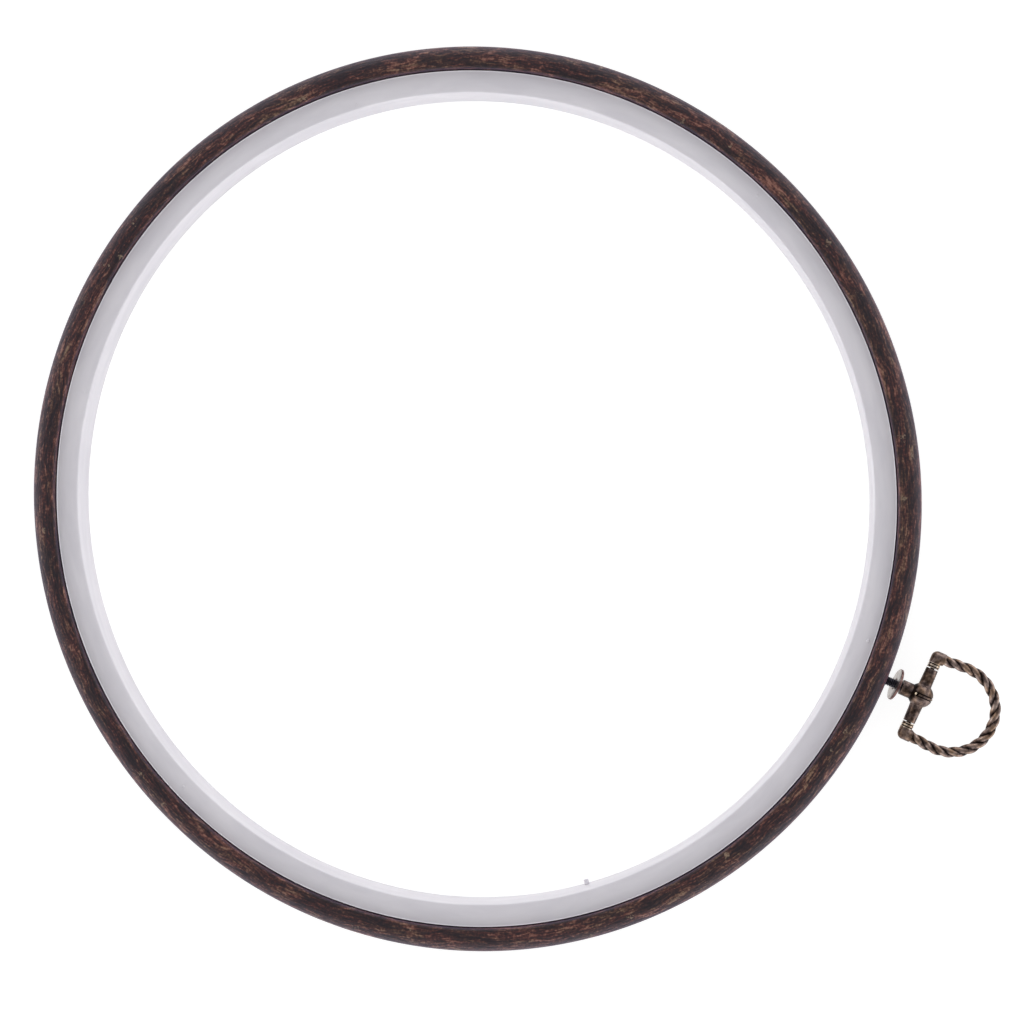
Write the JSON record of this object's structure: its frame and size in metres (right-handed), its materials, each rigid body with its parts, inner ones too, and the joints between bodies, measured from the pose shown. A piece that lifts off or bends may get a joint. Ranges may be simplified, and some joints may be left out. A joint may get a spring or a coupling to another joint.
{
  "type": "embroidery hoop",
  "caption": "Round embroidery hoop: stiff white inner ring, soft wood-effect outer ring stretched over it, and a swivelling metal hanger with a twisted D-shaped bail.",
  "frame": {"origin": "centre of the hoop's bore, in the plane of its back", "axes": "+Z along the hoop's axis towards its front face, +Y towards the hanger, +X along the hanger's arms"},
  "size_m": [0.25, 0.2827, 0.012],
  "materials": {
    "white_plastic": "satin",
    "wood_effect_vinyl": "satin, brown wood grain",
    "antique_bronze": "antique bronze plating",
    "washer_bronze": "polished bronze plating"
  },
  "bodies": {
    "inner_ring": {"inner_ring": "white_plastic"},
    "outer_ring": {"outer_ring": "wood_effect_vinyl"},
    "hanger": {"hanger_screw": "antique_bronze", "hanger_body": "antique_bronze"},
    "washer": {"hanger_washer": "washer_bronze"},
    "bail": {"bail": "antique_bronze"}
  },
  "joints": [
    {"name": "ring_release", "type": "slide", "parent": "inner_ring", "child": "outer_ring", "axis": [0, 0, 1], "range_m": [0, 0.02]},
    {"name": "hanger_swivel", "type": "hinge", "parent": "outer_ring", "child": "hanger", "pos_m": [0, 0.125, 0.00675], "axis": [0, 1, 0], "continuous": true},
    {"name": "washer_slide", "type": "slide", "parent": "hanger", "child": "washer", "axis": [0, 1, 0], "range_m": [-0.00235, 0.001]},
    {"name": "bail_swing", "type": "hinge", "parent": "hanger", "child": "bail", "pos_m": [0, 0.13525, 0.00675], "axis": [1, 0, 0], "range_deg": [-110, 110]}
  ]
}
